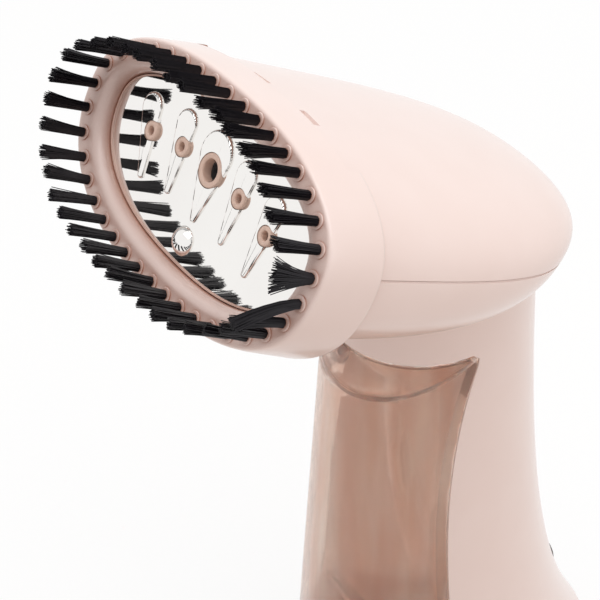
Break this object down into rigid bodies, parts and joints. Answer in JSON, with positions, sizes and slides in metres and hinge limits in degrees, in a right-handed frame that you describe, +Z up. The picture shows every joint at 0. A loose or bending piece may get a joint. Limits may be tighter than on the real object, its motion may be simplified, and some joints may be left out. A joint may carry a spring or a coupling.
{
  "type": "handheld garment steamer",
  "caption": "Handheld garment steamer: oval steam head tilted up on a flared column, ring of bristle tufts round a polished plate with nozzles, smoky water tank in front, flat rest base.",
  "frame": {"origin": "middle of the flat rest face under the base, where the steamer stands on a table", "axes": "+Z up, the steam head points towards -Y, +X is to the right seen from behind the head"},
  "size_m": [0.1096, 0.1519, 0.2493],
  "materials": {
    "blush_abs": "satin moulded ABS, pale blush",
    "blush_pbt": "satin moulded PBT, blush",
    "blush_pps": "satin moulded PPS, blush",
    "black_nylon": "black nylon filament",
    "polished_steel": "mirror-polished stainless sheet",
    "red_silicone": "moulded silicone, matte",
    "cast_aluminium": "die-cast, as cast",
    "element_steel": "drawn tube, heat-tinted",
    "terminal_brass": "stamped tabs",
    "black_phenolic": "moulded phenolic",
    "fuse_ceramic": "glazed ceramic sleeve",
    "shield_aluminium": "rolled sheet",
    "zinc_steel": "zinc-plated steel",
    "spring_steel": "stainless spring wire",
    "board_laminate": "glass-epoxy laminate",
    "black_nylon_part": "moulded nylon",
    "board_part_plastic": "sleeved components",
    "rose_abs": "satin moulded ABS, rose",
    "clear_lens": "diffusing acrylic",
    "coil_tape": "taped copper winding",
    "white_nylon": "moulded nylon, natural",
    "black_rubber": "moulded rubber",
    "clear_silicone": "extruded silicone tube",
    "smoky_tank": "transparent smoky-brown polycarbonate, gloss",
    "brown_acetal": "moulded acetal",
    "rose_rubber": "moulded silicone",
    "grey_abs": "moulded ABS, textured",
    "grey_rubber": "moulded rubber, matte"
  },
  "bodies": {
    "housing": {"front_bezel": "blush_pbt", "steam_plate": "polished_steel", "plate_gasket": "red_silicone", "centre_nozzle": "blush_pps", "side_nozzles": "blush_pps", "boiler_block": "cast_aluminium", "boiler_cover": "cast_aluminium", "heating_element": "element_steel", "element_terminals": "terminal_brass", "thermostat": "black_phenolic", "thermal_fuse": "fuse_ceramic", "heat_shield": "shield_aluminium", "boiler_screws": "zinc_steel", "upper_head_cover": "blush_abs", "body_shell_right": "blush_abs", "body_shell_left": "blush_abs", "control_panel": "blush_pbt", "control_board": "board_laminate", "microswitch": "black_nylon_part", "board_parts": "board_part_plastic", "board_screws": "zinc_steel", "button_spring": "spring_steel", "switch_body": "black_nylon_part", "indicator_lens": "clear_lens", "pump_coil": "coil_tape", "pump_frame": "zinc_steel", "pump_tube": "white_nylon", "pump_mounts": "black_rubber", "inlet_hose": "clear_silicone", "outlet_hose": "clear_silicone", "tank_socket": "white_nylon", "base_plate": "grey_abs", "base_pad": "grey_rubber", "base_screws": "zinc_steel", "shell_screws": "zinc_steel", "cord_gland": "grey_rubber", "terminal_block": "white_nylon"},
    "brush": {"brush_collar": "blush_abs", "bristle_tufts": "black_nylon"},
    "tank": {"tank_body": "smoky_tank", "tank_lid": "smoky_tank", "tank_outlet": "brown_acetal", "valve_spring": "spring_steel", "tank_filter": "white_nylon", "socket_seal": "black_rubber"},
    "stopper": {"filler_stopper": "rose_rubber"},
    "valve": {"valve_poppet": "white_nylon"},
    "button": {"steam_button": "rose_abs"},
    "slider": {"power_slider": "rose_abs"}
  },
  "joints": [
    {"name": "brush_pull", "type": "slide", "parent": "housing", "child": "brush", "axis": [0, -0.8554, 0.518], "range_m": [0, 0.04]},
    {"name": "tank_pull", "type": "slide", "parent": "housing", "child": "tank", "axis": [0, -1, 0], "range_m": [0, 0.065]},
    {"name": "stopper_pull", "type": "slide", "parent": "tank", "child": "stopper", "axis": [-0.8747, -0.4847, 0], "range_m": [0, 0.014]},
    {"name": "valve_lift", "type": "slide", "parent": "tank", "child": "valve", "axis": [0, 1, 0], "range_m": [0, 0.0015], "stiffness_N_per_m": 150, "springref_m": -0.001},
    {"name": "button_press", "type": "slide", "parent": "housing", "child": "button", "axis": [0, -1, 0], "range_m": [0, 0.0012], "stiffness_N_per_m": 1000, "springref_m": -0.0015},
    {"name": "slider_move", "type": "slide", "parent": "housing", "child": "slider", "axis": [0, 0, 1], "range_m": [0, 0.006]}
  ]
}
